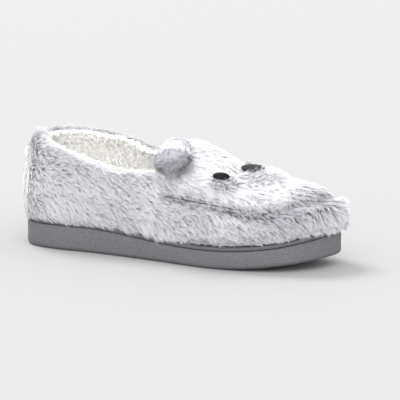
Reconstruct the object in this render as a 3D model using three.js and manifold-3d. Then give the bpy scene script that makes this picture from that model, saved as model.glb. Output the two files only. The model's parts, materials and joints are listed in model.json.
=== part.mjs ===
// A fluffy moccasin house slipper with an animal face, for the right foot.
// Millimetres, +X to the toe, +Y to the inner side of the foot (medial), +Z up.
// The upper is a dome of ribs: each rib climbs from the sole's edge to the ridge line over the
// instep. Fur, padding and lining are layers of that dome at different depths.
import * as THREE from "three";
import { mergeVertices } from "three/addons/utils/BufferGeometryUtils.js";
import Module from "manifold-3d";

const wasm = await Module();
wasm.setup();
const { lerp, clamp, degToRad } = THREE.MathUtils;
const LATERAL = -1;
const MEDIAL = 1;

// ---- Driving dimensions ----

const gap = 0.3; // between pieces that touch
const layerGap = 0.7; // between the faceted layers of the upper

const sole = {
  length: 262,
  ballWidth: 87,
  heelWidth: 73,
  toeShift: 9, // how far the toe tip lies to the medial side
  heelHeight: 19,
  ballHeight: 13.2,
  toeHeight: 15.6,
  toeLift: 10.5,
  liftLength: 84, // the toe's curve up from the floor
  liftPower: 1.8, // how late that curve rises
  edgeRadius: 3.5, // round bottom edge
  topChamfer: 0.7,
};
const tread = { depth: 2, width: 3.5, pitch: 12, vee: 7, margin: 11, heelEnd: 20, toeEnd: 34 };
const rand = { height: 3.4, width: 3, inset: 0.8 }; // the strip round the top of the sole
const footbed = { foam: 5, sock: 3, clearance: 3.2 };

const upper = {
  overhang: 3, // fur past the sole's edge at the bottom
  bulge: 3, // how far the wall swells on its way up
  seamGap: 1.8, // between two fur panels, where their thread lies
  threadRadius: 0.5,
  threadDepth: 3,
  threadLow: 3, // degrees up the rib where a side thread starts
  threadShort: 2, // degrees that it stops below the collar
};
const layer = { fur: 7, padding: 2, lining: 5 };

const sideSeam = 129; // from the back of the heel
const ridge = {
  throatBack: 7, // the throat's top lies this far behind the side seams
  heelStart: 62, // from the back of the heel
  toeRun: 42, // from the ridge's end to the toe tip
  bend: 62, // from the toe tip, where the ridge starts to shorten
  bendRun: 69,
  shift: 2, // to the medial side at the toe
  virtualHeel: 145, // height of the dome that the heel's walls belong to
  virtualWaist: 120,
  // Share of the way from the throat to the ridge's end, and height: crown, brow, nose, muzzle.
  heights: [
    [0, 86.5],
    [0.18, 88],
    [0.34, 84.5],
    [0.53, 77],
    [0.66, 69.5],
    [0.86, 66.5],
    [1, 63],
  ],
};
const collar = {
  heel: 87,
  quarter: 62, // from the back of the heel, where the side heights apply
  waist: 98,
  lateral: [72.5, 65.5, 65.5], // at the quarter, the waist and the side seam
  medial: [83, 74, 73],
};
// The apron's seam: heights, and how far from the toe tip each of them lies.
const apronSeam = [
  { back: 90, height: 48 },
  { back: 60, height: 44.5 },
  { back: 40, height: 42.5 },
  { back: 20, height: 49 },
  { back: 0, height: 52.5 },
];
const apronSeamStart = 51; // its height at the side seam
const counter = { height: 30, middleHeight: 27, reach: 78, endHeight: 6, paddingTop: 4 };

const ear = {
  width: 26,
  height: 28,
  thickness: 12,
  wall: 3,
  furWrap: 32, // degrees that the fur wraps round to the front
  seam: 3, // degrees between the fur and the plush
  lift: 2.2, // over the straight line from root to tip
};
// Each ear's share of the way from the throat to the ridge's end, and its angles up the rib.
const earPlaces = {
  lateral: { share: 0.17, root: 71, tip: 43 },
  medial: { share: 0.08, root: 57, tip: 31 },
};
// Pads on the fur: share of the ridge, angle up the rib, turn on the fur, and sink into it.
const nose = { length: 19, width: 25, thickness: 5, share: 0.74, angle: 90, turn: 0, sink: 1.5 };
const eye = { length: 13, width: 7, thickness: 5, share: 0.56, angle: 56, turn: 38, sink: 1 };

// ---- Small helpers ----

// A curve through [x, y] points, in order of x, that never overshoots them.
function profile(points) {
  const secant = (i) => (points[i + 1][1] - points[i][1]) / (points[i + 1][0] - points[i][0]);
  const last = points.length - 1;
  const slopes = points.map((_, i) => {
    if (i === 0) return secant(0);
    if (i === last) return secant(last - 1);
    const [a, b] = [secant(i - 1), secant(i)];
    return a * b > 0 ? (2 * a * b) / (a + b) : 0;
  });
  return (x) => {
    const at = clamp(x, points[0][0], points[last][0]);
    const i = Math.max(0, points.findIndex((p) => at <= p[0]) - 1);
    const span = points[i + 1][0] - points[i][0];
    const t = (at - points[i][0]) / span;
    const rise = lerp(points[i][1], points[i + 1][1], t * t * (3 - 2 * t));
    return rise + span * t * (1 - t) * ((1 - t) * slopes[i] - t * slopes[i + 1]);
  };
}

// The value in [low, high] where a rising function reaches the target.
function solve(rising, target, low = 0, high = 1) {
  for (let step = 0; step < 40; step++) {
    const middle = (low + high) / 2;
    if (rising(middle) < target) low = middle;
    else high = middle;
  }
  return (low + high) / 2;
}

const count = (n) => Array.from({ length: n }, (_, i) => i);
const quad = (a, b, c, d) => [[a, b, c], [a, c, d]];

// A closed geometry with shared vertices from a list of triangles, its faces pointing out.
function closed(triangles) {
  const full = triangles.filter(
    ([a, b, c]) => a.distanceTo(b) > 1e-3 && b.distanceTo(c) > 1e-3 && c.distanceTo(a) > 1e-3,
  );
  const volume = full.reduce((sum, [a, b, c]) => sum + a.dot(b.clone().cross(c)), 0);
  const points = full.flatMap(([a, b, c]) => (volume < 0 ? [a, c, b] : [a, b, c]));
  return mergeVertices(new THREE.BufferGeometry().setFromPoints(points), 1e-3);
}

// A three.js geometry with its vertices shared and its empty triangles gone.
function welded(geometry) {
  const flat = geometry.index ? geometry.toNonIndexed() : geometry;
  const position = flat.getAttribute("position");
  const corner = (i) => new THREE.Vector3().fromBufferAttribute(position, i);
  return closed(
    count(position.count / 3).map((i) => [corner(3 * i), corner(3 * i + 1), corner(3 * i + 2)]),
  );
}

function toManifold(geometry) {
  return new wasm.Manifold(
    new wasm.Mesh({
      numProp: 3,
      vertProperties: geometry.getAttribute("position").array,
      triVerts: new Uint32Array(geometry.index.array),
    }),
  );
}

function fromManifold(solid) {
  const mesh = solid.getMesh();
  const geometry = new THREE.BufferGeometry();
  geometry.setAttribute("position", new THREE.BufferAttribute(mesh.vertProperties, 3));
  geometry.setIndex(new THREE.BufferAttribute(mesh.triVerts, 1));
  return geometry;
}

// ---- The sole's outline and heights ----

// Each row: share of the length, of the heel width, of the ball width, of the toe shift.
const outlineShape = [
  [0, 0, 0, 0],
  [0.012, -0.16, 0, 0],
  [0.05, -0.39, 0, 0],
  [0.13, -0.5, 0, 0],
  [0.3, -0.5, 0, 0],
  [0.5, -0.2, -0.3, 0],
  [0.68, 0, -0.53, 0],
  [0.82, 0, -0.48, 0],
  [0.93, 0, -0.31, 0],
  [0.985, 0, -0.1, 0.5],
  [1, 0, 0, 1],
  [0.985, 0, 0.13, 1],
  [0.93, 0, 0.33, 0],
  [0.82, 0, 0.45, 0],
  [0.7, 0, 0.47, 0],
  [0.5, 0.38, 0.12, 0],
  [0.3, 0.485, 0, 0],
  [0.13, 0.5, 0, 0],
  [0.05, 0.39, 0, 0],
  [0.012, 0.16, 0, 0],
];
const outline = new THREE.CatmullRomCurve3(
  outlineShape.map(
    ([along, heel, ball, tip]) =>
      new THREE.Vector3(
        along * sole.length,
        heel * sole.heelWidth + ball * sole.ballWidth + tip * sole.toeShift,
        0,
      ),
  ),
  true,
  "centripetal",
);
outline.arcLengthDivisions = 40 * outlineShape.length;
const lengths = outline.getLengths();
const toeShare = lengths[outline.arcLengthDivisions / 2] / lengths.at(-1);

// A point on the edge of the sole, moved out of it. tau runs from 0 at the heel to 1 at the toe.
function edge(side, tau, out = 0) {
  const u = side === LATERAL ? tau * toeShare : 1 - tau * (1 - toeShare);
  const point = outline.getPointAt(u % 1);
  const along = outline.getTangentAt(u % 1);
  return new THREE.Vector2(point.x + along.y * out, point.y - along.x * out);
}

const middleX = (tau) => (edge(LATERAL, tau).x + edge(MEDIAL, tau).x) / 2;
const seamTau = solve(middleX, sideSeam);

function toeCurve(x) {
  const share = clamp((x - sole.length + sole.liftLength) / sole.liftLength, 0, 1);
  return sole.toeLift * share ** sole.liftPower;
}

const soleThickness = profile([
  [0, sole.heelHeight],
  [0.25 * sole.length, sole.heelHeight],
  [0.62 * sole.length, sole.ballHeight],
  [0.85 * sole.length, sole.ballHeight],
  [sole.length, sole.toeHeight],
]);
const soleTop = (x) => toeCurve(x) + soleThickness(x);
const wallFoot = (x) => soleTop(x) + rand.height + 2 * gap;

// ---- Flat pieces that follow the outline ----

const AROUND = 34; // steps along each side of the outline

// The outline, inset, as a closed loop: up the lateral side, back down the medial side.
function loop(inset, heightAt) {
  return count(2 * AROUND).map((k) => {
    const side = k <= AROUND ? LATERAL : MEDIAL;
    const tau = (k <= AROUND ? k : 2 * AROUND - k) / AROUND;
    const point = edge(side, tau, -inset);
    return new THREE.Vector3(point.x, point.y, heightAt(point.x));
  });
}

const join = (low, high) =>
  low.flatMap((point, k) => {
    const next = (k + 1) % low.length;
    return quad(point, low[next], high[next], high[k]);
  });

// Strips from side to side, so that a cap follows its height along the sole.
function cap(ring) {
  const across = (k) => ring[(2 * AROUND - k) % (2 * AROUND)];
  return count(AROUND).flatMap((k) => quad(ring[k], ring[k + 1], across(k + 1), across(k)));
}

// A solid with a cap at each end of a stack of rings, from the lowest up.
function slab(rings) {
  const flip = (triangles) => triangles.map(([a, b, c]) => [a, c, b]);
  const walls = rings.slice(1).flatMap((ring, i) => join(rings[i], ring));
  return closed([...flip(cap(rings[0])), ...walls, ...cap(rings.at(-1))]);
}

// A ring-shaped solid whose section runs through the loops in order.
const band = (rings) => closed(rings.flatMap((ring, i) => join(ring, rings[(i + 1) % rings.length])));

// ---- The sole ----

function outsoleBody() {
  const round = [0, 30, 60, 90].map((degrees) => {
    const turn = degToRad(degrees);
    const inset = sole.edgeRadius * (1 - Math.sin(turn));
    const rise = sole.edgeRadius * (1 - Math.cos(turn));
    return loop(inset, (x) => toeCurve(x) + rise);
  });
  return slab([
    ...round,
    loop(0, (x) => soleTop(x) - sole.topChamfer),
    loop(sole.topChamfer, soleTop),
  ]);
}

// One chevron-shaped channel across the tread.
function channel(x) {
  const tau = solve(middleX, x);
  const [low, high] = [edge(LATERAL, tau).y, edge(MEDIAL, tau).y];
  const middle = (low + high) / 2;
  const half = (high - low) / 2 - tread.margin;
  const shape = new THREE.Shape([
    new THREE.Vector2(0, -half),
    new THREE.Vector2(tread.vee, 0),
    new THREE.Vector2(0, half),
    new THREE.Vector2(-tread.width, half),
    new THREE.Vector2(tread.vee - tread.width, 0),
    new THREE.Vector2(-tread.width, -half),
  ]);
  const geometry = new THREE.ExtrudeGeometry(shape, { depth: 2 * tread.depth, bevelEnabled: false });
  return welded(geometry.translate(x, middle, toeCurve(x) - tread.depth));
}

function outsole() {
  const room = sole.length - tread.heelEnd - tread.toeEnd;
  const channels = count(Math.floor(room / tread.pitch) + 1);
  const cut = channels.reduce(
    (body, i) => body.subtract(toManifold(channel(tread.heelEnd + i * tread.pitch))),
    toManifold(outsoleBody()),
  );
  return fromManifold(cut);
}

function randStrip() {
  const [outside, inside] = [rand.inset, rand.inset + rand.width];
  const bottom = (x) => soleTop(x) + gap;
  const top = (x) => bottom(x) + rand.height;
  return band([loop(outside, bottom), loop(outside, top), loop(inside, top), loop(inside, bottom)]);
}

const boardInset = rand.inset + rand.width + gap;
const wallDepth = layer.fur + layer.padding + layer.lining + 2 * layerGap;
const bedInset = wallDepth - upper.overhang + footbed.clearance;

function insoleBoard() {
  const bottom = (x) => soleTop(x) + gap;
  return slab([loop(boardInset, bottom), loop(boardInset, (x) => bottom(x) + rand.height)]);
}

function footbedLayer(rise, thickness) {
  const bottom = (x) => wallFoot(x) + rise;
  return slab([loop(bedInset, bottom), loop(bedInset, (x) => bottom(x) + thickness)]);
}

// ---- The dome of the upper ----

const ridgeX = profile([
  [0, ridge.heelStart],
  [sideSeam, sideSeam - ridge.throatBack],
  [sole.length - ridge.bend, sole.length - ridge.bendRun],
  [sole.length, sole.length - ridge.toeRun],
]);
const throatX = sideSeam - ridge.throatBack;
const ridgeEnd = sole.length - ridge.toeRun;
const alongRidge = (share) => lerp(throatX, ridgeEnd, share);
const ridgeZ = profile([
  [ridge.heelStart, ridge.virtualHeel],
  [(ridge.heelStart + throatX) / 2, ridge.virtualWaist],
  ...ridge.heights.map(([share, height]) => [alongRidge(share), height]),
]);

function ridgePoint(tau) {
  const x = ridgeX(middleX(tau));
  const y = ridge.shift * clamp((x - throatX) / (ridgeEnd - throatX), 0, 1);
  return new THREE.Vector3(x, y, ridgeZ(x));
}

// A point on the rib at tau: angle runs from 0 at the sole to 90 degrees at the ridge.
function domePoint(side, tau, angle, depth) {
  const foot = edge(side, tau, upper.overhang - depth + upper.bulge * Math.sin(2 * angle));
  const top = ridgePoint(tau);
  const inward = 1 - Math.cos(angle);
  return new THREE.Vector3(
    lerp(foot.x, top.x, inward),
    lerp(foot.y, top.y, inward),
    lerp(wallFoot(edge(side, tau).x), top.z - depth, Math.sin(angle)),
  );
}

// The angle at which a rib passes a height.
function angleAt(side, tau, depth, height) {
  const foot = wallFoot(edge(side, tau).x);
  const rise = (height - foot) / (ridgePoint(tau).z - depth - foot);
  return Math.asin(clamp(rise, 0, 1));
}

const collarPoints = ([quarter, waist, seam]) => [
  [0, collar.heel],
  [collar.quarter, quarter],
  [collar.waist, waist],
  [sideSeam, seam],
];
const collarZ = {
  [LATERAL]: profile(collarPoints(collar.lateral)),
  [MEDIAL]: profile(collarPoints(collar.medial)),
};
const collarHeight = (side, tau) => collarZ[side](edge(side, tau).x);
const apronSeamZ = profile([
  [sideSeam, apronSeamStart],
  ...apronSeam.map(({ back, height }) => [sole.length - back, height]),
]);
const counterHeight = profile([
  [0, counter.height],
  [counter.reach / 2, counter.middleHeight],
  [counter.reach, counter.endHeight],
]);
const counterTop = (side, tau) => {
  const x = edge(side, tau).x;
  return wallFoot(x) + counterHeight(x);
};

// Half the seam's gap, as a share of the outline's side.
const sideLength = lengths.at(-1) / 2;
const gapTau = upper.seamGap / 2 / sideLength;
const quarterEnd = seamTau - gapTau;
const vampStart = seamTau + gapTau;

// The ribs' places along one side. Every layer uses the same ones, so that facets are parallel.
const HEEL_STEPS = 14;
const VAMP_STEPS = 20;
const regular = [
  ...count(HEEL_STEPS).map((k) => (seamTau * k) / HEEL_STEPS),
  ...count(VAMP_STEPS).map((k) => lerp(seamTau, 1, k / VAMP_STEPS)),
];
const places = (from, to) => [from, ...regular.filter((tau) => tau > from && tau < to), to];

// Ribs of one side, and from the lateral side round the toe or round the heel to the medial side.
const oneSide = (side, from, to) => places(from, to).map((tau) => [side, tau]);
const roundToe = (from) => [
  ...oneSide(LATERAL, from, 1),
  ...oneSide(MEDIAL, from, 1).reverse().slice(1),
];
const roundHeel = (to) => [
  ...oneSide(LATERAL, 0, to).reverse(),
  ...oneSide(MEDIAL, 0, to).slice(1),
];

// A layer of the dome as a solid. low and high give each rib's two angles at a depth. A zipped
// layer reaches the ridge from both sides and joins itself there.
function domeLayer({ ribs, low, high, depth, thickness, steps, zipped = false }) {
  const skin = (at) =>
    ribs.map(([side, tau]) =>
      count(steps + 1).map((j) => {
        const angle = lerp(low(side, tau, at), high(side, tau, at), j / steps);
        return domePoint(side, tau, angle, at);
      }),
    );
  const outer = skin(depth);
  const inner = skin(depth + thickness);
  const end = ribs.length - 1;
  const triangles = [];
  for (let i = 0; i < end; i++) {
    for (let j = 0; j < steps; j++) {
      triangles.push(...quad(outer[i][j], outer[i + 1][j], outer[i + 1][j + 1], outer[i][j + 1]));
      triangles.push(...quad(inner[i][j + 1], inner[i + 1][j + 1], inner[i + 1][j], inner[i][j]));
    }
    triangles.push(...quad(inner[i][0], inner[i + 1][0], outer[i + 1][0], outer[i][0]));
    if (zipped) continue;
    const top = steps;
    triangles.push(...quad(outer[i][top], outer[i + 1][top], inner[i + 1][top], inner[i][top]));
  }
  for (let j = 0; j < steps; j++) {
    triangles.push(...quad(inner[0][j], outer[0][j], outer[0][j + 1], inner[0][j + 1]));
    triangles.push(...quad(outer[end][j], inner[end][j], inner[end][j + 1], outer[end][j + 1]));
  }
  return closed(triangles);
}

const bottom = () => 0;
const toRidge = () => Math.PI / 2;
const toCollar = (side, tau, at) => angleAt(side, tau, at, collarHeight(side, tau));
const belowApron = (side, tau, at) =>
  angleAt(side, tau, at, apronSeamZ(edge(side, tau).x) - upper.seamGap / 2);
const aboveApron = (side, tau, at) =>
  angleAt(side, tau, at, apronSeamZ(edge(side, tau).x) + upper.seamGap / 2);

// ---- Fur panels ----

const furLayer = { depth: 0, thickness: layer.fur };

const quarter = (side) =>
  domeLayer({
    ...furLayer,
    ribs: oneSide(side, gapTau, quarterEnd),
    low: bottom,
    high: toCollar,
    steps: 6,
  });
const toeWall = () =>
  domeLayer({ ...furLayer, ribs: roundToe(vampStart), low: bottom, high: belowApron, steps: 4 });
const apron = () =>
  domeLayer({
    ...furLayer,
    ribs: roundToe(vampStart),
    low: aboveApron,
    high: toRidge,
    steps: 6,
    zipped: true,
  });

// ---- Layers inside the fur ----

const paddingLayer = { depth: layer.fur + layerGap, thickness: layer.padding };
const liningLayer = { depth: layer.fur + layer.padding + 2 * layerGap, thickness: layer.lining };
const wholeVamp = { ribs: roundToe(vampStart), low: bottom, high: toRidge, steps: 7, zipped: true };

const heelCounter = () => {
  const reach = solve(middleX, counter.reach);
  return domeLayer({
    ...paddingLayer,
    ribs: roundHeel(reach),
    low: bottom,
    high: (side, tau, at) => angleAt(side, tau, at, counterTop(side, tau)),
    steps: 3,
  });
};
const collarPadding = () =>
  domeLayer({
    ...paddingLayer,
    ribs: roundHeel(quarterEnd),
    low: (side, tau, at) => angleAt(side, tau, at, counterTop(side, tau) + gap),
    high: (side, tau, at) => angleAt(side, tau, at, collarHeight(side, tau) - counter.paddingTop),
    steps: 4,
  });
const quarterLining = () =>
  domeLayer({ ...liningLayer, ribs: roundHeel(quarterEnd), low: bottom, high: toCollar, steps: 6 });

// ---- Seam threads ----

// A round thread through points.
function thread(points, steps) {
  const section = new THREE.Shape();
  section.absarc(0, 0, upper.threadRadius, 0, 2 * Math.PI);
  const path = new THREE.CatmullRomCurve3(points, false, "centripetal");
  const round = { extrudePath: path, steps, curveSegments: 3, bevelEnabled: false };
  return welded(new THREE.ExtrudeGeometry(section, round));
}

function ribThread(side, tau) {
  const depth = upper.threadDepth;
  const low = degToRad(upper.threadLow);
  const high = toCollar(side, tau, depth) - degToRad(upper.threadShort);
  return thread(count(9).map((i) => domePoint(side, tau, lerp(low, high, i / 8), depth)), 12);
}

function apronThread() {
  const depth = upper.threadDepth;
  const start = seamTau + 4 * gapTau;
  const points = roundToe(start).map(([side, tau]) => {
    const height = apronSeamZ(edge(side, tau).x);
    return domePoint(side, tau, angleAt(side, tau, depth, height), depth);
  });
  return thread(points, 60);
}

// ---- Face: ears, eyes and nose ----

const tauOnRidge = (share) => solve((tau) => ridgePoint(tau).x, alongRidge(share));

// Everything under the fur's surface, with the gap that a piece on it keeps.
const underFur = toManifold(
  domeLayer({
    ribs: roundToe(seamTau),
    low: bottom,
    high: toRidge,
    depth: -gap,
    thickness: 2 * ear.thickness,
    steps: 14,
    zipped: true,
  }),
);

// The dome's directions at a point: along to the toe, down the rib, and out of the surface.
function domeFrame(side, tau, angle) {
  const step = 0.01; // small enough for a tangent
  const at = domePoint(side, tau, angle, 0);
  const along = domePoint(side, tau + step, angle, 0).sub(domePoint(side, tau - step, angle, 0));
  const down = domePoint(side, tau, angle - 2 * step, 0).sub(at);
  const out = along.clone().cross(down).multiplyScalar(side).normalize();
  return { at, along: along.normalize(), out };
}

// A soft pad lying on the fur, cut to the dome's shape underneath.
function pad({ length, width, thickness, share, angle, turn, sink }, side) {
  const { at, along, out } = domeFrame(side, tauOnRidge(share), degToRad(angle));
  along.applyAxisAngle(out, -side * degToRad(turn));
  const across = out.clone().cross(along).normalize();
  const place = new THREE.Matrix4().makeBasis(along, across, out.clone());
  place.setPosition(at.addScaledVector(out, thickness / 2 - sink));
  const ball = welded(new THREE.SphereGeometry(0.5, 16, 10).scale(length, width, thickness));
  return fromManifold(toManifold(ball.applyMatrix4(place)).subtract(underFur));
}

// Points round a unit ear section from one latitude to another, in degrees.
const arc = (from, to, radius, reach) =>
  count(7).map((i) => {
    const turn = degToRad(lerp(from, to, i / 6));
    return new THREE.Vector2(Math.max(0, radius * Math.cos(turn)), reach * Math.sin(turn));
  });

// A shell of the ear between two latitudes: -90 is the back, 90 the front.
function earShell(from, to) {
  const thin = 1 - (2 * ear.wall) / ear.width;
  const flat = 1 - (2 * ear.wall) / ear.thickness;
  const skin = arc(from, to, 1, 1);
  return new THREE.LatheGeometry([...skin, ...arc(to, from, thin, flat), skin[0]], 20);
}

function earWadding() {
  const inset = ear.wall + gap;
  const thin = 1 - (2 * inset) / ear.width;
  const flat = 1 - (2 * inset) / ear.thickness;
  return new THREE.LatheGeometry(arc(-90, 90, thin, flat), 20);
}

// The ear's place: its root is sewn near the ridge and it droops down the side of the dome.
function earPlace(side, { share, root: rootAngle, tip: tipAngle }) {
  const tau = tauOnRidge(share);
  const root = domePoint(side, tau, degToRad(rootAngle), 0);
  const tip = domePoint(side, tau, degToRad(tipAngle), 0);
  const { along } = domeFrame(side, tau, degToRad(rootAngle));
  const droop = tip.clone().sub(root).normalize();
  const face = along.clone().cross(droop).multiplyScalar(side).normalize();
  const width = face.clone().cross(droop).normalize();
  const middle = root.lerp(tip, 0.5).addScaledVector(face, ear.thickness / 2 + ear.lift);
  return new THREE.Matrix4().makeBasis(width, face, droop).setPosition(middle);
}

function earPiece(unit, place) {
  const full = welded(unit.scale(ear.width / 2, ear.thickness / 2, ear.height / 2));
  return fromManifold(toManifold(full.applyMatrix4(place)).subtract(underFur));
}

// ---- The assembly ----

const greyFur = { color: 0xc9c8cf, roughness: 0.95 };
const whiteFur = { color: 0xf3f3f5, roughness: 0.95 };
const fleece = { color: 0xf0ede4, roughness: 1 };
const rubber = { color: 0x77777c, roughness: 0.75 };
const foam = { color: 0xe8e2cf, roughness: 0.9 };
const board = { color: 0xb59a72, roughness: 0.85 };
const plastic = { color: 0xd8d4cc, roughness: 0.6 };
const satin = { color: 0x111113, roughness: 0.35 };
const cotton = { color: 0x6d6c73, roughness: 0.8 };

const slipper = new THREE.Group();
function add(name, geometry, finish) {
  const mesh = new THREE.Mesh(geometry, new THREE.MeshStandardMaterial({ metalness: 0, ...finish }));
  mesh.name = name;
  slipper.add(mesh);
}

add("outsole", outsole(), rubber);
add("rand_strip", randStrip(), rubber);
add("insole_board", insoleBoard(), board);
add("footbed_foam", footbedLayer(0, footbed.foam), foam);
add("sock_lining", footbedLayer(footbed.foam + gap, footbed.sock), fleece);
add("quarter_lateral", quarter(LATERAL), greyFur);
add("quarter_medial", quarter(MEDIAL), greyFur);
add("toe_wall", toeWall(), greyFur);
add("apron", apron(), whiteFur);
add("heel_counter", heelCounter(), plastic);
add("collar_padding", collarPadding(), foam);
add("vamp_padding", domeLayer({ ...paddingLayer, ...wholeVamp }), foam);
add("quarter_lining", quarterLining(), fleece);
add("vamp_lining", domeLayer({ ...liningLayer, ...wholeVamp }), fleece);
add("side_seam_lateral", ribThread(LATERAL, seamTau), cotton);
add("side_seam_medial", ribThread(MEDIAL, seamTau), cotton);
add("heel_seam", ribThread(LATERAL, 0), cotton);
add("apron_seam", apronThread(), cotton);
add("nose", pad(nose, LATERAL), satin);
for (const [word, side] of [["lateral", LATERAL], ["medial", MEDIAL]]) {
  const place = earPlace(side, earPlaces[word]);
  add(`eye_${word}`, pad(eye, side), satin);
  add(`ear_${word}_fur`, earPiece(earShell(-90, ear.furWrap), place), greyFur);
  add(`ear_${word}_plush`, earPiece(earShell(ear.furWrap + ear.seam, 90), place), whiteFur);
  add(`ear_${word}_wadding`, earPiece(earWadding(), place), foam);
}

// The origin is the middle of the part's box, on the floor.
const box = new THREE.Box3().setFromObject(slipper);
const middle = box.getCenter(new THREE.Vector3());
slipper.position.set(-middle.x, -middle.y, -box.min.z);

export default slipper;
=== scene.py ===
# %% [markdown]
# # A fluffy house slipper
# The slipper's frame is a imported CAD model: sole, panels, linings, seams, ears, eyes and nose,
# each in its right place. Blender keeps those places and gives each piece its real surface. Most
# of the work is pile: long frosted fur outside, curly fleece inside and short plush on the ears.

# %% Set-up
import json
import math

import bmesh
import bpy
import numpy as np
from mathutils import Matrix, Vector
from mathutils.bvhtree import BVHTree
from mathutils.kdtree import KDTree

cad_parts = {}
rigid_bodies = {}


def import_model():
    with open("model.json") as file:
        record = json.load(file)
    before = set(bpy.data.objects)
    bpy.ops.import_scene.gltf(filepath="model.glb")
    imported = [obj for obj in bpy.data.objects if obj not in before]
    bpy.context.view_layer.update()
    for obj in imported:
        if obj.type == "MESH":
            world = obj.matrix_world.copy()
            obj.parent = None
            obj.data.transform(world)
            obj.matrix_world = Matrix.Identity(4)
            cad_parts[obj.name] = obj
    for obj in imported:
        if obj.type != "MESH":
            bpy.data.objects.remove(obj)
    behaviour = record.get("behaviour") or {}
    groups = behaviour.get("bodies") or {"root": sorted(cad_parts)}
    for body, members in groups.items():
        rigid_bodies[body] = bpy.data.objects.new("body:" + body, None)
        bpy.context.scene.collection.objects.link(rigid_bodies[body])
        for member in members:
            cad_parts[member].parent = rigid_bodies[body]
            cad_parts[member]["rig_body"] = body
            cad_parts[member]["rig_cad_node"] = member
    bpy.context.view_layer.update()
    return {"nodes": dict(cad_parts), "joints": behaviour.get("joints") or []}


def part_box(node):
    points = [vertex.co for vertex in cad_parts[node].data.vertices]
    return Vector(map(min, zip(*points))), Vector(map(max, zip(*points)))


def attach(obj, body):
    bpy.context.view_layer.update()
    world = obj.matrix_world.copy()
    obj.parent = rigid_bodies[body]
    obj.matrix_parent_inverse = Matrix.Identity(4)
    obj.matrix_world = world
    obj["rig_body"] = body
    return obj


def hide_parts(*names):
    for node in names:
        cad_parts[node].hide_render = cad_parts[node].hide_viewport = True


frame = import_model()
NODES = frame["nodes"]
MM = 0.001

# %% [markdown]
# ## Camera
# A long lens, low and turned to the toe's side, as products of this kind are shown. The camera is
# made first because every later choice of pile length and tint is judged from it.

# %% Camera
CAMERA_AZIMUTH = math.radians(28.2)
CAMERA_HEIGHT = math.radians(9.5)
CAMERA_DISTANCE = 1.3
CAMERA_TARGET = Vector((0, 0.0013, 0.045))
camera_back = Vector(
    (
        math.sin(CAMERA_AZIMUTH) * math.cos(CAMERA_HEIGHT),
        -math.cos(CAMERA_AZIMUTH) * math.cos(CAMERA_HEIGHT),
        math.sin(CAMERA_HEIGHT),
    )
)
camera = bpy.data.objects.new("camera", bpy.data.cameras.new("camera"))
bpy.context.scene.collection.objects.link(camera)
camera.data.lens = 153.2
camera.data.shift_x, camera.data.shift_y = 0.055, -0.015
camera.location = CAMERA_TARGET + camera_back * CAMERA_DISTANCE
camera.rotation_mode = "QUATERNION"
camera.rotation_quaternion = (-camera_back).to_track_quat("-Z", "Y")
bpy.context.scene.camera = camera
bpy.context.scene.view_settings.view_transform = "Standard"
print("camera at", [round(v, 3) for v in camera.location])

# %% [markdown]
# ## Materials in one place
# A small helper makes a node tree from a list of nodes and links, so that each finish below reads
# as a recipe: what drives the colour, what drives the roughness, what drives the bump.


# %% Material helper
def material(name, colour=(0.8, 0.8, 0.8), roughness=0.8, sheen=0.0):
    made = bpy.data.materials.new(name)
    made.use_nodes = True
    shader = made.node_tree.nodes["Principled BSDF"]
    shader.inputs["Base Color"].default_value = (*colour, 1)
    shader.inputs["Roughness"].default_value = roughness
    shader.inputs["Specular IOR Level"].default_value = 0.3
    shader.inputs["Sheen Weight"].default_value = sheen
    return made, made.node_tree, shader


def node(tree, kind, **values):
    made = tree.nodes.new(kind)
    for name, value in values.items():
        if name in made.inputs:
            made.inputs[name].default_value = value
        else:
            setattr(made, name, value)
    return made


def ramp(tree, factor, stops):
    made = tree.nodes.new("ShaderNodeValToRGB")
    band = made.color_ramp
    while len(band.elements) < len(stops):
        band.elements.new(0.5)
    for element, (place, colour) in zip(band.elements, stops):
        element.position = place
        element.color = (*colour, 1)
    tree.links.new(factor, made.inputs["Fac"])
    return made.outputs["Color"]


def grain(tree, shader, scale, strength, distance, detail=3.0):
    """Bump from a noise on Object coordinates, in metres."""
    place = tree.nodes.new("ShaderNodeTexCoord")
    noise = node(tree, "ShaderNodeTexNoise", Scale=scale, Detail=detail)
    bump = node(tree, "ShaderNodeBump", Strength=strength, Distance=distance)
    tree.links.new(place.outputs["Object"], noise.inputs["Vector"])
    tree.links.new(noise.outputs["Fac"], bump.inputs["Height"])
    tree.links.new(bump.outputs["Normal"], shader.inputs["Normal"])
    return noise.outputs["Fac"]


def grey(value, lilac=0.0):
    """A grey, with a little less green and more blue when it's lilac."""
    return (value, value * (1 - 0.25 * lilac), min(1, value * (1 + lilac)))


# %% [markdown]
# ## Fur material
# Frosted fake fur has dark roots, grey middles and white tips. Each strand carries its own UV map:
# v runs from root to tip and u says how grey the strand is, from white fur at 0 to grey fur at 1.
# Two ramps along v, mixed by u, then colour any strand.


# %% Fur material
def pile_material(name, light, dark, roughness, sheen):
    made, tree, shader = material(name, roughness=roughness, sheen=sheen)
    uv = node(tree, "ShaderNodeUVMap", uv_map="OFBake")
    parts = tree.nodes.new("ShaderNodeSeparateXYZ")
    mix = node(tree, "ShaderNodeMix", data_type="RGBA")
    tree.links.new(uv.outputs["UV"], parts.inputs["Vector"])
    tree.links.new(parts.outputs["X"], mix.inputs["Factor"])
    tree.links.new(ramp(tree, parts.outputs["Y"], light), mix.inputs[6])
    tree.links.new(ramp(tree, parts.outputs["Y"], dark), mix.inputs[7])
    tree.links.new(mix.outputs[2], shader.inputs["Base Color"])
    return made


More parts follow.
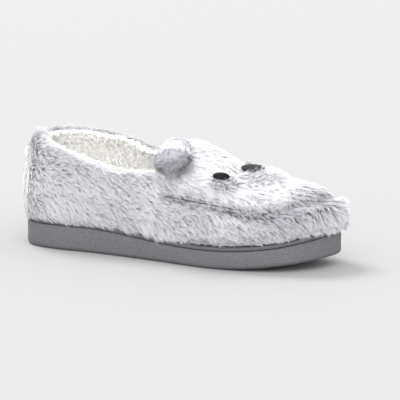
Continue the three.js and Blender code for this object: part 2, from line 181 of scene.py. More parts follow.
FUR = pile_material(
    "frosted_fur",
    light=[(0, grey(0.87, 0.03)), (0.25, grey(0.9, 0.03)), (0.6, grey(0.92, 0.02)), (1, grey(0.93, 0.01))],
    dark=[
        (0, grey(0.03, 0.1)),
        (0.3, grey(0.10, 0.1)),
        (0.55, grey(0.26, 0.09)),
        (0.8, grey(0.55, 0.07)),
        (1, grey(0.86, 0.04)),
    ],
    roughness=0.55,
    sheen=0.15,
)
FLEECE = pile_material(
    "cream_fleece",
    light=[(0, (0.95, 0.93, 0.88)), (0.4, (0.98, 0.97, 0.94)), (1, (0.99, 0.985, 0.97))],
    dark=[(0, (0.86, 0.81, 0.73)), (0.4, (0.93, 0.90, 0.85)), (1, (0.97, 0.96, 0.93))],
    roughness=0.9,
    sheen=0.3,
)
print("pile materials", FUR.name, FLEECE.name)

# %% [markdown]
# ## Reading a CAD skin
# A CAD node arrives as loose triangles. A copy of it is merged, so that its edges are shared, and
# its faces are sorted by whether they look away from the middle of the foot or towards it. The
# middle of the foot is a line along the inside of the slipper.

# %% Copies of CAD nodes
CORE_START = Vector((-0.088, 0.0, 0.05))
CORE_END = Vector((0.078, 0.004, 0.036))


def deselect():
    if bpy.context.object and bpy.context.object.mode != "OBJECT":
        bpy.ops.object.mode_set(mode="OBJECT")
    bpy.ops.object.select_all(action="DESELECT")


def select_only(obj):
    deselect()
    bpy.context.view_layer.objects.active = obj
    obj.select_set(True)


def wear(pieces, body):
    """Ties pieces to a body."""
    for piece in pieces:
        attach(piece, body)


def copy_of(node_name, name):
    """A merged copy of a CAD node, alone in the selection."""
    made = NODES[node_name].copy()
    made.data = NODES[node_name].data.copy()
    made.parent = None
    made.name = made.data.name = name
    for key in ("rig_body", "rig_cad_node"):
        del made[key]
    bpy.context.scene.collection.objects.link(made)
    made.data.materials.clear()
    select_only(made)
    bpy.ops.object.mode_set(mode="EDIT")
    bpy.ops.mesh.select_all(action="SELECT")
    bpy.ops.mesh.remove_doubles(threshold=1e-5)
    bpy.ops.object.mode_set(mode="OBJECT")
    return made


def away(points):
    """Unit directions from the core line to the points."""
    start, line = np.array(CORE_START), np.array(CORE_END - CORE_START)
    share = np.clip((points - start) @ line / (line @ line), 0, 1)
    out = points - (start + share[:, None] * line)
    return out / np.linalg.norm(out, axis=1)[:, None]


def arrays(obj):
    """Vertices, triangles, and each triangle's normal, as long as twice its area."""
    mesh = obj.data
    mesh.calc_loop_triangles()
    points = np.zeros(len(mesh.vertices) * 3)
    mesh.vertices.foreach_get("co", points)
    points = points.reshape(-1, 3)
    corners = np.zeros(len(mesh.loop_triangles) * 3, int)
    mesh.loop_triangles.foreach_get("vertices", corners)
    corners = corners.reshape(-1, 3)
    a, b, c = (points[corners[:, k]] for k in range(3))
    flat = np.cross(b - a, c - a)
    return points, corners, flat


def unit(vectors):
    return vectors / np.maximum(np.linalg.norm(vectors, axis=-1, keepdims=True), 1e-12)


def smooth_normals(points, corners, flat, chosen):
    """Vertex normals from the chosen triangles only, so that a rim doesn't bend them."""
    total = np.zeros_like(points)
    for k in range(3):
        np.add.at(total, corners[chosen, k], flat[chosen])
    return unit(total)


def scatter(points, corners, flat, normals, chosen, number, rng):
    """Evenly random places on the chosen triangles, with smooth normals."""
    area = np.linalg.norm(flat[chosen], axis=1)
    picked = chosen[rng.choice(len(chosen), number, p=area / area.sum())]
    a, b = rng.random(number), rng.random(number)
    turn = a + b > 1
    a[turn], b[turn] = 1 - a[turn], 1 - b[turn]
    weights = np.stack([1 - a - b, a, b], axis=1)[:, :, None]
    places = (points[corners[picked]] * weights).sum(1)
    return places, unit((normals[corners[picked]] * weights).sum(1))


# %% [markdown]
# ## Strands
# A strand is a tapering ribbon of two four-sided faces and a three-sided tip. It rises from its
# root and bends over to the way the pile lies. Strands near one another are drawn to a shared
# middle strand, more towards the tip, so that they make the pointed locks of real fur, and slow
# waves turn the pile a little this way and that. Everything is seeded, so each run is the same.

# %% Strand helper
COLUMNS = 48  # steps of tint in the strands' UV map
HEIGHTS = np.array([0.0, 0.4, 0.75, 1.0])  # stations from root to tip


def waves(places, length, seed):
    """A slow random field between about -1 and 1, from crossing waves of one length."""
    rng = np.random.default_rng(seed)
    total = np.zeros(len(places))
    for _ in range(6):
        way = unit(rng.normal(size=3))
        total += np.sin(places @ way * 2 * math.pi / length / rng.uniform(0.7, 1.4) + rng.uniform(0, 7))
    return total / 2.5


def nearest(places, centres):
    """For each place, the index of its nearest centre, and the distance."""
    tree = KDTree(len(centres))
    for i, centre in enumerate(centres):
        tree.insert(centre, i)
    tree.balance()
    found = [tree.find(place) for place in places]
    return np.array([f[1] for f in found]), np.array([f[2] for f in found])


def turned(vectors, axes, angles):
    """The vectors turned about the axes, which are at right angles to them."""
    return vectors * np.cos(angles)[:, None] + np.cross(axes, vectors) * np.sin(angles)[:, None]


def strands(name, roots, normals, flow, rise, reach, width, tint, look, lock=0.08, pull=0.5,
            wander=0.25, loose=0.12, curl=0.0, seed=1):
    """A mesh of ribbons. rise and reach are each strand's height and its travel along the flow."""
    rng = np.random.default_rng(seed)
    number = len(roots)
    flow = unit(flow - normals * (flow * normals).sum(1)[:, None])
    turn = wander * waves(roots, 0.03, seed) + wander * 0.7 * waves(roots, 0.011, seed + 1)
    flow = turned(flow, normals, turn)

    # Locks: each strand follows its own path and the path of its lock's middle strand.
    middles = rng.choice(number, max(8, int(number * lock)), replace=False)
    owner, _ = nearest(roots, roots[middles])
    owner = middles[owner]
    lock_turn = rng.normal(0, 0.2, number)
    lock_rise = rng.uniform(0.72, 1.15, number)
    own_turn = rng.normal(0, loose, number)
    own_size = rng.uniform(0.75, 1.15, number) + 0.3 * (rng.random(number) < 0.04)
    phase = rng.uniform(0, 2 * math.pi, number)
    side = np.cross(normals, flow)

    def path(index, s, turn_by, size):
        bend = turned(flow[index], normals[index], turn_by)
        up = np.sin(s * math.pi / 2) ** 0.9 * rise[index] * size
        along = s**1.35 * reach[index] * size
        place = roots[index] + normals[index] * up[:, None] + bend * along[:, None]
        if curl:
            angle = phase[index] + s * 2.2 * math.pi
            swing = curl * min(1.0, 2 * s)
            place = place + side[index] * (swing * np.sin(angle))[:, None]
            place = place + flow[index] * (swing * np.cos(angle))[:, None]
        return place

    everyone = np.arange(number)
    stations = []
    for s in HEIGHTS:
        mine = path(everyone, s, own_turn + lock_turn[owner], own_size)
        shared = path(owner, s, lock_turn[owner], lock_rise[owner])
        stations.append(mine + (shared - mine) * (pull * s**1.3))
    line = unit(stations[3] - stations[0])
    roll = rng.normal(0, 0.5, number)
    flat = unit(np.cross(normals, line))
    across = turned(flat, line, roll) * width[:, None]
    share = [0.5, 0.5, 0.34]
    left = [stations[k] - across * share[k] for k in range(3)]
    right = [stations[k] + across * share[k] for k in range(3)]
    points = np.stack([left[0], right[0], left[1], right[1], left[2], right[2], stations[3]], axis=1)
    column = np.clip((tint * COLUMNS).astype(int), 0, COLUMNS - 1)
    return ribbons(name, points, column, look)


def ribbons(name, points, column, look):
    """The mesh object of strands from their seven points each."""
    number = len(points)
    corners = np.array([0, 1, 3, 2, 2, 3, 5, 4, 4, 5, 6])
    loops = (np.arange(number)[:, None] * 7 + corners).ravel()
    mesh = bpy.data.meshes.new(name)
    mesh.vertices.add(number * 7)
    mesh.vertices.foreach_set("co", points.astype(np.float32).ravel())
    mesh.loops.add(len(loops))
    mesh.loops.foreach_set("vertex_index", loops.astype(np.int32))
    starts = (np.arange(number)[:, None] * 11 + np.array([0, 4, 8])).ravel()
    mesh.polygons.add(number * 3)
    mesh.polygons.foreach_set("loop_start", starts.astype(np.int32))
    mesh.polygons.foreach_set("loop_total", np.tile([4, 4, 3], number).astype(np.int32))
    uv = mesh.uv_layers.new(name="OFBake")
    u = np.array([0.1, 0.9, 0.1, 0.9, 0.1, 0.9, 0.5])[corners]
    v = np.array([0.0, 0.0, 0.4, 0.4, 0.75, 0.75, 1.0])[corners] * 0.98 + 0.01
    grid = np.stack(
        [(column[:, None] + u) / COLUMNS, np.broadcast_to(v, (number, 11))], axis=2
    )
    uv.data.foreach_set("uv", grid.astype(np.float32).ravel())
    mesh.polygons.foreach_set("use_smooth", np.ones(number * 3, bool))
    mesh.update(calc_edges=True)
    mesh.validate()
    made = bpy.data.objects.new(name, mesh)
    bpy.context.scene.collection.objects.link(made)
    mesh.materials.append(look)
    print(f"{name}: {number} strands, {number * 5} triangles")
    return made


# %% [markdown]
# ## Backings
# Fake fur and fleece are knitted: the pile stands on a cloth. Each panel's copy is thinned from
# its pile side to a cloth of about 2 mm, and smoothed, and the strands are planted on it.

# %% Backing helper
BACKING, backing_tree, backing_shader = material("knitted_backing", grey(0.2, 0.06), 0.95, 0.2)
grain(backing_tree, backing_shader, 900, 0.6, 0.0004)
WHITE_BACKING, pale_tree, pale_shader = material("white_backing", grey(0.85, 0.03), 0.95, 0.2)
grain(pale_tree, pale_shader, 900, 0.6, 0.0004)
FLEECE_BACKING, cream_tree, cream_shader = material("fleece_backing", (0.97, 0.95, 0.91), 0.95, 0.2)
grain(cream_tree, cream_shader, 700, 0.7, 0.0006)


def backing(node_name, name, depth, outward, look):
    """A panel's copy with its pile side moved in by depth, smoothed, plus its pile side's arrays."""
    made = copy_of(node_name, name)
    points, corners, flat = arrays(made)
    middles = points[corners].mean(1)
    facing = (unit(flat) * away(middles)).sum(1) * (1 if outward else -1)
    rim = (unit(flat)[:, 2] > 0.6) & (middles[:, 2] > 0.058)
    chosen = np.flatnonzero((facing > 0.2) | (rim if not outward else False))
    normals = smooth_normals(points, corners, flat, chosen)
    pile_side = np.unique(corners[chosen])
    moved = points.copy()
    moved[pile_side] -= normals[pile_side] * depth
    made.data.vertices.foreach_set("co", moved.ravel())
    made.data.update()
    made.data.materials.append(look)
    for polygon in made.data.polygons:
        polygon.use_smooth = True
    return made, (moved, corners, flat, normals, chosen)


def planted(skin, number, seed, keep=None):
    points, corners, flat, normals, chosen = skin
    if keep is not None:
        chosen = chosen[keep(points[corners[chosen]].mean(1), unit(flat[chosen]))]
    rng = np.random.default_rng(seed)
    return scatter(points, corners, flat, normals, chosen, number, rng)


# %% [markdown]
# ## Where the seams are
# The pile dips into each seam, because the panel's edge is turned under and the stitches pull it
# down. The seam threads' own vertices say how near a root is to a seam.

# %% Seam distances
def near(places, node_name, within):
    """1 on the piece, falling smoothly to 0 at a distance."""
    _, distance = nearest(places, arrays(NODES[node_name])[0])
    share = np.clip(1 - distance / within, 0, 1)
    return share * share * (3 - 2 * share)


def along_seam(node_name, number, seed, above=0.0, spread=1.3 * MM):
    """Roots beside a seam's thread, for the pile that is combed out over it."""
    rng = np.random.default_rng(seed)
    stitches = arrays(NODES[node_name])[0]
    stitches = stitches[stitches[:, 2] > above]
    places = stitches[rng.integers(len(stitches), size=number)]
    places = places + rng.normal(0, spread, (number, 3))
    return places - away(places) * 3 * MM, away(places)


def together(planting):
    """One array of roots and one of normals from several plantings."""
    return (np.vstack(several) for several in zip(*planting))


def throat_edge(node_name, number, seed):
    """Roots on the faces of a panel's edge that look back into the opening."""
    points, corners, flat = arrays(NODES[node_name])
    middles = points[corners].mean(1)
    edge = (unit(flat)[:, 0] < -0.5) & (middles[:, 0] < points[:, 0].min() + 12 * MM)
    chosen = np.flatnonzero(edge)
    normals = smooth_normals(points, corners, flat, chosen)
    return scatter(points, corners, flat, normals, chosen, number, np.random.default_rng(seed))


def bell(values, middle, half):
    """1 at the middle, 0 at half away from it and beyond."""
    share = np.clip(1 - np.abs(values - middle) / half, 0, 1)
    return share * share * (3 - 2 * share)


def step(values, low, high):
    share = np.clip((values - low) / (high - low), 0, 1)
    return share * share * (3 - 2 * share)


# %% [markdown]
# ## Quarters
# The two side panels run from the heel seam to the side seams. Their pile lies down and forward.
# At the top it folds over the collar, and at the bottom it hangs over the sole's lip.

# %% Quarters
def lies(places, forward, down):
    """The way the pile lies: forward and down, and out from the middle on top."""
    ways = np.zeros_like(places)
    ways[:, 0] = forward
    ways[:, 1] = np.sign(places[:, 1]) * 0.25
    ways[:, 2] = -down
    return ways


def at_hem(places):
    """1 at the pile's lower edge, which follows the sole's lip, and 0 well above it."""
    lip = np.interp(places[:, 0], [-0.13, -0.06, 0, 0.06, 0.13], [0.022, 0.0205, 0.016, 0.019, 0.027])
    return 1 - step(places[:, 2] - lip, 0.002, 0.01)


def quarter(side, seed):
    cloth, skin = backing(f"quarter_{side}", f"quarter_{side}_cloth", 5.0 * MM, True, BACKING)
    planting = [planted(skin, 35500, seed, lambda p, n: n[:, 2] > -0.8),
                along_seam("heel_seam", 2500, seed),
                along_seam("heel_seam", 1500, seed + 1, 0.074, 2.5 * MM)]
    roots, normals = together(planting)
    number = len(roots)
    rng = np.random.default_rng(seed)
    level = unit(np.cross((0, 0, 1.0), normals)) * (1 if side == "lateral" else -1)
    on_top = step(normals[:, 2], 0.5, 0.9)[:, None]
    back = step(-normals[:, 0], 0.25, 0.8)
    flow = level * (1 - on_top) * (1 - back[:, None]) + np.array([0.9, 0, 0]) * on_top
    flow[:, 2] -= 0.24 + 0.3 * (1 - step(roots[:, 2], 0.03, 0.07))
    crown = step(near(roots, "heel_seam", 16 * MM), 0.2, 0.7) * step(roots[:, 2], 0.07, 0.08)
    flow += 0.6 * crown[:, None] * rng.normal(size=(number, 3))
    seam = near(roots, f"side_seam_{side}", 4 * MM)
    low = at_hem(roots)
    rise = rng.uniform(3.9, 5.4, number) * MM * (1 + 0.1 * seam) * (1 - 0.5 * crown)
    reach = rng.uniform(7.0, 11.0, number) * MM * (1 - 0.35 * low) * (1 - 0.4 * crown)
    collar = step(roots[:, 2], 0.062, 0.078)
    tint = 0.4 + 0.10 * waves(roots, 0.05, seed + 5) + rng.normal(0, 0.13, number)
    # The pile that looks back over the heel is tinted lighter by back: painted light against the shade its
    # grazing strands show there.
    tint += 0.5 * (rng.random(number) < 0.05) + 0.06 * collar - 0.12 * back - 0.2 * crown
    tint -= 0.12 * (1 - step(roots[:, 0], -0.12, -0.08))
    fur = strands(f"quarter_{side}_fur", roots, normals, flow, rise, reach,
                  rng.uniform(0.22, 0.34, number) * MM, np.clip(tint, 0, 0.999), FUR,
                  lock=0.16, wander=0.18, seed=seed)
    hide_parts(f"quarter_{side}")
    wear((cloth, fur), "shoe")


quarter("lateral", 11)
quarter("medial", 12)

# %% [markdown]
# ## Toe wall
# The toe wall is a long strip round the toe, from side seam to side seam. Its pile lies forward
# and down, hangs over the sole's lip, and is darker round the toe and along the apron's seam.

# %% Toe wall
cloth, skin = backing("toe_wall", "toe_wall_cloth", 5.0 * MM, True, BACKING)
planting = [planted(skin, 34000, 21, lambda p, n: n[:, 2] > -0.8)]
planting += [along_seam(f"side_seam_{side}", 2000, 22) for side in ("lateral", "medial")]
roots, normals = together(planting)
rng = np.random.default_rng(21)
seam = near(roots, "apron_seam", 7 * MM)
flow = lies(roots, 0.9, 0.45)
low = at_hem(roots)
rise = rng.uniform(3.9, 5.4, len(roots)) * MM * (1 - 0.5 * seam)
reach = rng.uniform(7.0, 11.0, len(roots)) * MM * (1 - 0.5 * low) * (1 - 0.3 * seam)
tint = 0.42 + 0.12 * waves(roots, 0.05, 26) + rng.normal(0, 0.14, len(roots)) + 0.45 * seam
tint += 0.5 * bell(roots[:, 0], 0.09, 0.04) + 0.5 * (rng.random(len(roots)) < 0.06)
fur = strands("toe_wall_fur", roots, normals, flow, rise, reach,
              rng.uniform(0.22, 0.34, len(roots)) * MM, np.clip(tint, 0, 0.999), FUR,
              lock=0.14, seed=21)
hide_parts("toe_wall")
wear((cloth, fur), "shoe")

# %% [markdown]
# ## Apron
# The apron is the tongue-shaped panel on top that carries the face. It is white on the forehead
# and the muzzle and greys towards its seam. The pile stands higher round the eyes, the muzzle and
# the roots of the ears, so that they look set into it.

# %% Apron
cloth, skin = backing("apron", "apron_cloth", 5.0 * MM, True, WHITE_BACKING)
roots, normals = planted(skin, 38000, 31)
rng = np.random.default_rng(31)
seam = near(roots, "apron_seam", 7 * MM)
edge = near(roots, "apron_seam", 24 * MM)
flow = lies(roots, 0.9, 0.35)
eyes = np.maximum(near(roots, "eye_lateral", 14 * MM), near(roots, "eye_medial", 14 * MM))
eyes = step(eyes, 0.2, 0.6)
nose_middle = arrays(NODES["nose"])[0][:, 0].mean()
muzzle = step(near(roots, "nose", 20 * MM), 0.1, 0.6)
muzzle *= step(roots[:, 0] - 0.3 * roots[:, 1], nose_middle - 10 * MM, nose_middle)
toe = near(roots, "apron_seam", 14 * MM) * step(roots[:, 0], 0.06, 0.09)
ear_roots = np.array([joint["pos_m"] for joint in frame["joints"]])
at_ear = 1 - step(nearest(roots, ear_roots)[1], 6 * MM, 15 * MM)
raised = 1 + 0.95 * eyes + 0.7 * muzzle + 0.4 * at_ear
rise = rng.uniform(3.6, 4.9, len(roots)) * MM * (1 - 0.55 * seam) * raised
short = 1 - 0.5 * np.maximum(muzzle, eyes)
reach = rng.uniform(7.0, 11.0, len(roots)) * MM * (1 - 0.3 * seam) * short
tint = -0.08 + 0.6 * edge + 0.1 * waves(roots, 0.035, 36) + rng.normal(0, 0.08, len(roots))
# A share of the strands round the eyes is tinted dark: painted shade round and under the eye pads.
tint += 0.6 * seam + 0.35 * toe + 0.6 * eyes * (rng.random(len(roots)) < 0.3)
fur = strands("apron_fur", roots, normals, flow, rise, reach,
              rng.uniform(0.22, 0.34, len(roots)) * MM, np.clip(tint, 0, 0.999), FUR,
              lock=0.25, pull=0.4, wander=0.18, seed=31)
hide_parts("apron")
wear((cloth, fur), "shoe")

# %% [markdown]
# ## Fleece inside
# The linings and the sock are a curly fleece. Its strands are short and curl in small locks.


# %% Linings
def fleece(node_name, number, seed, keep=None, edges=()):
    cloth, skin = backing(node_name, f"{node_name}_cloth", 2.5 * MM, False, FLEECE_BACKING)
    planting = [planted(skin, number, seed, keep)] + [throat_edge(name, 900, seed) for name in edges]
    roots, normals = together(planting)
    number = len(roots)
    rng = np.random.default_rng(seed)
    flow = np.array([0.5, 0, -0.7]) + 0.45 * rng.normal(size=(number, 3))
    rise = rng.uniform(1.3, 2.1, number) * MM
    reach = rng.uniform(3.0, 5.0, number) * MM
    tint = 0.2 + 0.2 * waves(roots, 0.02, seed) + rng.normal(0, 0.12, number)
    pile = strands(f"{node_name}_pile", roots, normals, flow, rise, reach,
                   rng.uniform(0.4, 0.7, number) * MM, np.clip(tint, 0, 0.999), FLEECE,
                   lock=0.1, pull=0.4, curl=0.35 * MM, seed=seed)
    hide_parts(node_name)
    wear((cloth, pile), "shoe")


fleece("quarter_lining", 38000, 41)
fleece("vamp_lining", 14000, 42, edges=("vamp_lining", "vamp_padding", "apron"))
fleece("sock_lining", 14000, 43, keep=lambda p, n: n[:, 2] > 0.5)

# %% [markdown]
# ## Ears
# Each ear is a small stuffed pad. Its face is short white plush, and long grey fur covers its back
# and grows round its edge. The ear droops: its hinge is at the root, and the fur hangs to the tip.

# %% Ears
PLUSH_PAD, plush_tree, plush_shader = material("plush_backing", grey(0.97), 0.9, 0.6)
grain(plush_tree, plush_shader, 900, 0.5, 0.0004)


def shell_skin(piece):
    """A closed shell's arrays with all its triangles that look away from its own middle."""
    points, corners, flat = arrays(piece)
    middles = points[corners].mean(1)
    centre = (points.min(0) + points.max(0)) / 2
    chosen = np.flatnonzero((flat * (middles - centre)).sum(1) > 0)
    return points, corners, flat, smooth_normals(points, corners, flat, chosen), chosen


def ear(side, seed):
    joint = next(j for j in frame["joints"] if j["name"] == f"{side}_ear_fold")
    root = np.array(joint["pos_m"])
    centre = np.array(sum(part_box(f"ear_{side}_wadding"), Vector()) / 2)
    droop = unit(centre - root)
    width = np.array(joint["axis"])
    droop = unit(droop - width * (droop @ width))
    for part, number, slot in (("plush", 9000, "white_plush"), ("fur", 15000, "grey_fur")):
        pad = copy_of(f"ear_{side}_{part}", f"ear_{side}_{part}_pad")
        pad.data.materials.append(PLUSH_PAD)
        for polygon in pad.data.polygons:
            polygon.use_smooth = True
        roots, normals = planted(shell_skin(pad), number, seed)
        rng = np.random.default_rng(seed)
        below = (roots - centre) @ droop
        flow = droop + 0.2 * rng.normal(size=(number, 3))
        fringe = step(below, -0.001, 0.003)
        tint = 1.25 * fringe - 0.2 + rng.normal(0, 0.12, number)
        pile = strands(f"ear_{side}_{part}_pile", roots - normals * 0.4 * MM, normals, flow,
                       rng.uniform(0.7, 1.1, number) * MM * (1 + 2.6 * fringe),
                       rng.uniform(2.2, 3.4, number) * MM * (1 + 2.0 * fringe),
                       rng.uniform(0.22, 0.34, number) * MM, np.clip(tint, 0, 0.999), FUR,
                       seed=seed + 1)
        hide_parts(f"ear_{side}_{part}")
        if part == "plush":
            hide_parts(f"ear_{side}_wadding")
        wear((pad, pile), f"{side}_ear")


ear("lateral", 51)
ear("medial", 53)

# %% [markdown]
# ## Nose and eyes
# They are little pads of black satin, sewn on and half sunk in the fur. The CAD pads have flat
# facets, so copies of them are subdivided and smoothed, which keeps their place and size.

# %% Nose and eyes
SATIN, satin_tree, satin_shader = material("black_satin", grey(0.008), 0.5)
satin_shader.inputs["Specular IOR Level"].default_value = 0.12
grain(satin_tree, satin_shader, 2500, 0.3, 0.0002)
for name in ("nose", "eye_lateral", "eye_medial"):
    pad = copy_of(name, f"{name}_pad")
    bpy.ops.object.modifier_add(type="REMESH")
    pad.modifiers[0].mode = "VOXEL"
    pad.modifiers[0].voxel_size = 0.5 * MM
    bpy.ops.object.modifier_apply(modifier=pad.modifiers[0].name)
    bpy.ops.object.modifier_add(type="SMOOTH")
    pad.modifiers[0].iterations = 6
    bpy.ops.object.modifier_apply(modifier=pad.modifiers[0].name)
    bpy.ops.object.shade_smooth()
    pad.data.materials.append(SATIN)
    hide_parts(name)
    wear([pad], "shoe")
    print(pad.name, len(pad.data.polygons), "faces")

# %% [markdown]
# ## Sole
# The sole is one foamed rubber moulding with a fine grain. Its outline is measured on the CAD sole
# with rays, smoothed, and given to a circle's vertices. The circle is then extruded ring by ring
# up the wall: a rounded bottom edge, a wall that leans in a little, and a soft top edge.

# %% Sole outline
STATIONS = 300
SOLE_LEVEL = 12 * MM  # a height at which the sole has a wall all round


def tree_of(node_name):
    points, corners, _ = arrays(NODES[node_name])
    return BVHTree.FromPolygons(points.tolist(), corners.tolist())


def ring_smooth(values, width):
    """Values round a closed ring, averaged over a window."""
    window = np.hanning(width + 2)[1:-1]
    around = np.concatenate([values[-width:], values, values[:width]])
    return np.convolve(around, window / window.sum(), "same")[width:-width]


sole_tree = tree_of("outsole")
dense = []
for k in range(1440):
    angle = 2 * math.pi * k / 1440
    way = Vector((math.cos(angle), math.sin(angle), 0))
    hit = sole_tree.ray_cast(way * 0.3 + Vector((0, 0, SOLE_LEVEL)), -way)[0]
    dense.append((hit.x, hit.y))
dense = np.array(dense)
walk = np.concatenate([[0], np.cumsum(np.linalg.norm(np.roll(dense, -1, 0) - dense, axis=1))])
closed = np.vstack([dense, dense[:1]])
even = np.arange(STATIONS) / STATIONS * walk[-1]
ring_x, ring_y = (ring_smooth(np.interp(even, walk, closed[:, k]), 7) for k in range(2))
ahead = unit(np.stack([np.roll(ring_x, -1) - np.roll(ring_x, 1),
                       np.roll(ring_y, -1) - np.roll(ring_y, 1)], axis=1))
inward = np.stack([-ahead[:, 1], ahead[:, 0]], axis=1)


def height_at(tree, xs, ys, up):
    start, way = (-0.05, (0, 0, 1)) if up else (0.2, (0, 0, -1))
    hits = [tree.ray_cast(Vector((x, y, start)), Vector(way))[0] for x, y in zip(xs, ys)]
    return ring_smooth(np.array([h.z for h in hits]), 9)


under = height_at(sole_tree, ring_x + inward[:, 0] * 7 * MM, ring_y + inward[:, 1] * 7 * MM, True)
over = height_at(sole_tree, ring_x + inward[:, 0] * 2 * MM, ring_y + inward[:, 1] * 2 * MM, False)
print("outline", round(walk[-1], 4), "m, sole", round(float((over - under).min()), 4), "to",
      round(float((over - under).max()), 4), "m thick")

# %% [markdown]
# ## Building from rings
# Both the moulding and the lip round its top are rings set at an inset from the outline.


# %% Ring helpers
def sole_ring(inset, heights):
    return np.stack([ring_x + inward[:, 0] * inset, ring_y + inward[:, 1] * inset, heights], axis=1)


def cap(made, first):
    """Strips from side to side over the ring that starts at a vertex, so the cap keeps its curve."""
    grid = bmesh.new()
    grid.from_mesh(made.data)
    grid.verts.ensure_lookup_table()
    ring = grid.verts[first:first + STATIONS]
    for k in range(STATIONS // 2):
        corners = dict.fromkeys([k, k + 1, -(k + 1) % STATIONS, -k % STATIONS])
        grid.faces.new([ring[corner] for corner in corners])
    grid.to_mesh(made.data)
    grid.free()


def ringed(name, rings, close):
    """A circle moved to the first ring and extruded to each next one, then closed or capped."""
    deselect()
    bpy.ops.mesh.primitive_circle_add(vertices=STATIONS, radius=0.1)
    made = bpy.context.object
    made.name = made.data.name = name
    made.data.vertices.foreach_set("co", rings[0].astype(np.float32).ravel())
    for ring in rings[1:]:
        bpy.ops.object.mode_set(mode="EDIT")
        bpy.ops.mesh.extrude_region_move()
        bpy.ops.object.mode_set(mode="OBJECT")
        points = arrays(made)[0]
        points[-STATIONS:] = ring
        made.data.vertices.foreach_set("co", points.ravel())
    if not close:
        cap(made, 0)
        cap(made, len(made.data.vertices) - STATIONS)
    bpy.ops.object.mode_set(mode="EDIT")
    if close:
        bpy.ops.mesh.select_all(action="DESELECT")
        bpy.ops.mesh.select_non_manifold()
        bpy.ops.mesh.bridge_edge_loops()
    bpy.ops.mesh.select_all(action="SELECT")
    bpy.ops.mesh.normals_make_consistent(inside=False)
    bpy.ops.object.mode_set(mode="OBJECT")
    bpy.ops.object.shade_smooth_by_angle(angle=math.radians(35))
    return made


# %% [markdown]
# ## Moulding
# A rounded bottom edge, a wall that leans in a little, and a soft top edge. The rubber has a fine
# speckle, which is the same noise that drives its grain.

# %% Sole moulding
RUBBER, rubber_tree, rubber_shader = material("grey_sole_rubber", grey(0.135, 0.07), 0.62)
speckle = grain(rubber_tree, rubber_shader, 900, 0.8, 0.0006, 4)
moulded = ramp(rubber_tree, speckle, [(0.35, grey(0.115, 0.07)), (0.65, grey(0.165, 0.07))])
rubber_tree.links.new(moulded, rubber_shader.inputs["Base Color"])
EDGE = 3.5 * MM
turns = np.radians([0, 18, 36, 54, 72, 90])
rings = [sole_ring(EDGE * (1 - math.sin(t)), under + EDGE * (1 - math.cos(t))) for t in turns]
rings += [sole_ring(0.25 * MM, under + (over - under) * 0.5),
          sole_ring(0.1 * MM, over - 1.4 * MM), sole_ring(0.3 * MM, over - 0.7 * MM),
          sole_ring(0.9 * MM, over - 0.2 * MM), sole_ring(1.6 * MM, over)]
sole = ringed("outsole_moulding", rings, False)
print("sole moulding from", len(rings), "rings")

# %% [markdown]
# ## Tread
# Chevron channels across the underside, made as one cutter and taken out with one boolean.

# %% Tread
TREAD_PITCH, TREAD_DEPTH, TREAD_WIDTH, TREAD_VEE = 12 * MM, 2 * MM, 3.5 * MM, 7 * MM
TREAD_MARGIN, TREAD_HEEL, TREAD_TOE = 11 * MM, 20 * MM, 34 * MM
corners, faces = [], []
lateral, medial = ring_y < 0, ring_y > 0


def at(side, values, x):
    order = np.argsort(ring_x[side])
    return np.interp(x, ring_x[side][order], values[side][order])


for x in np.arange(ring_x.min() + TREAD_HEEL, ring_x.max() - TREAD_TOE, TREAD_PITCH):
    low, high = at(lateral, ring_y, x), at(medial, ring_y, x)
    middle, half = (low + high) / 2, (high - low) / 2 - TREAD_MARGIN
    level = (at(lateral, under, x) + at(medial, under, x)) / 2
    outline = [(0, -half), (TREAD_VEE, 0), (0, half)]
    outline += [(dx - TREAD_WIDTH, dy) for dx, dy in reversed(outline)]
    base = len(corners)
    for z in (level - TREAD_DEPTH, level + TREAD_DEPTH):
        corners += [(x + dx, middle + dy, z) for dx, dy in outline]
    faces += [[base + k for k in range(6)], [base + 11 - k for k in range(6)]]
    faces += [[base + k, base + 6 + k, base + 6 + (k + 1) % 6, base + (k + 1) % 6] for k in range(6)]
cutter = bpy.data.objects.new("tread_cutter", bpy.data.meshes.new("tread_cutter"))
cutter.data.from_pydata(corners, [], faces)
bpy.context.scene.collection.objects.link(cutter)
select_only(cutter)
bpy.ops.object.mode_set(mode="EDIT")
bpy.ops.mesh.select_all(action="SELECT")
bpy.ops.mesh.normals_make_consistent(inside=False)
bpy.ops.object.mode_set(mode="OBJECT")
select_only(sole)
bpy.ops.object.modifier_add(type="BOOLEAN")
sole.modifiers[-1].object = cutter
sole.modifiers[-1].solver = "EXACT"
bpy.ops.object.modifier_apply(modifier=sole.modifiers[-1].name)
bpy.data.objects.remove(cutter)
bpy.ops.object.shade_smooth_by_angle(angle=math.radians(35))
sole.data.materials.clear()
sole.data.materials.append(RUBBER)
print("sole", len(sole.data.polygons), "faces with", len(faces) // 8, "channels")
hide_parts("outsole")

# %% [markdown]
# ## Lip
# A rounded strip lies round the top of the sole, under the pile's edge.

# %% Lip
lip_base = over + 0.35 * MM
lip = [(1.9, 0.0), (1.0, 0.2), (0.4, 0.9), (0.25, 1.8), (0.45, 2.7), (1.1, 3.25), (2.0, 3.4)]
lip += [(3.7, 3.4), (3.7, 0.0)]
strip = ringed("rand_lip", [sole_ring(inset * MM, lip_base + rise * MM) for inset, rise in lip], True)
strip.data.materials.append(RUBBER)
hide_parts("rand_strip")
wear((sole, strip), "shoe")
print("lip", len(strip.data.polygons), "faces")

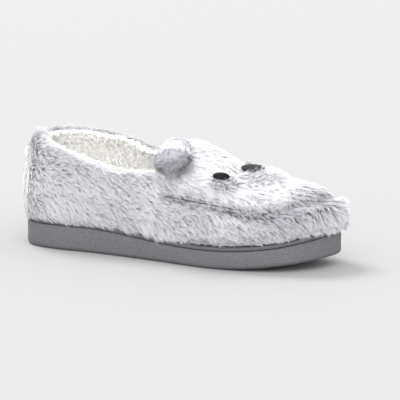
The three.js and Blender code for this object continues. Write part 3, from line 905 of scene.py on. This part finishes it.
# %% [markdown]
# ## What lies inside
# Threads, board, foam and stiffener keep their CAD shapes and get their own plain finishes.

# %% Inner pieces
THREAD, thread_tree, thread_shader = material("twisted_thread", grey(0.1, 0.06), 0.8, 0.2)
grain(thread_tree, thread_shader, 3000, 0.5, 0.0002)
FOAM, foam_tree, foam_shader = material("soft_foam", (0.88, 0.86, 0.8), 0.9)
grain(foam_tree, foam_shader, 1800, 0.5, 0.0004)
BOARD, board_tree, board_shader = material("fibre_board", (0.2, 0.19, 0.19), 0.85)
grain(board_tree, board_shader, 600, 0.4, 0.0003)
SHELL, shell_tree, shell_shader = material("stiffener_sheet", (0.68, 0.65, 0.6), 0.6)
grain(shell_tree, shell_shader, 300, 0.2, 0.0002)
for names, look in (
    (("apron_seam", "side_seam_lateral", "side_seam_medial", "heel_seam"), THREAD),
    (("footbed_foam", "collar_padding", "vamp_padding"), FOAM),
    (("insole_board",), BOARD),
    (("heel_counter",), SHELL),
):
    for name in names:
        NODES[name].data.materials.clear()
        NODES[name].data.materials.append(look)
    print(look.name, "on", ", ".join(names))

# %% [markdown]
# ## Floor and light
# A pale floor, a white world, and two wide suns: one from the left and above, one from the front.

# %% Stage
bpy.ops.mesh.primitive_plane_add(size=40, location=(0, 0, 0))
floor = bpy.context.object
floor.name = "floor"
floor_look, floor_tree, floor_shader = material("pale_floor", grey(0.39), 0.9)
floor.data.materials.append(floor_look)
world = bpy.data.worlds.new("studio")
bpy.context.scene.world = world
world.use_nodes = True
world.node_tree.nodes["Background"].inputs["Color"].default_value = (1, 1, 1, 1)
world.node_tree.nodes["Background"].inputs["Strength"].default_value = 1.2
for name, azimuth, height, strength, spread in (
    ("key_sun", -110, 58, 2.0, 25), ("front_sun", 28, 38, 1.85, 60)
):
    sun = bpy.data.objects.new(name, bpy.data.lights.new(name, "SUN"))
    bpy.context.scene.collection.objects.link(sun)
    sun.data.energy = strength
    sun.data.angle = math.radians(spread)
    sun.rotation_euler = (math.radians(90 - height), 0, math.radians(azimuth))
    print(name, "strength", strength)
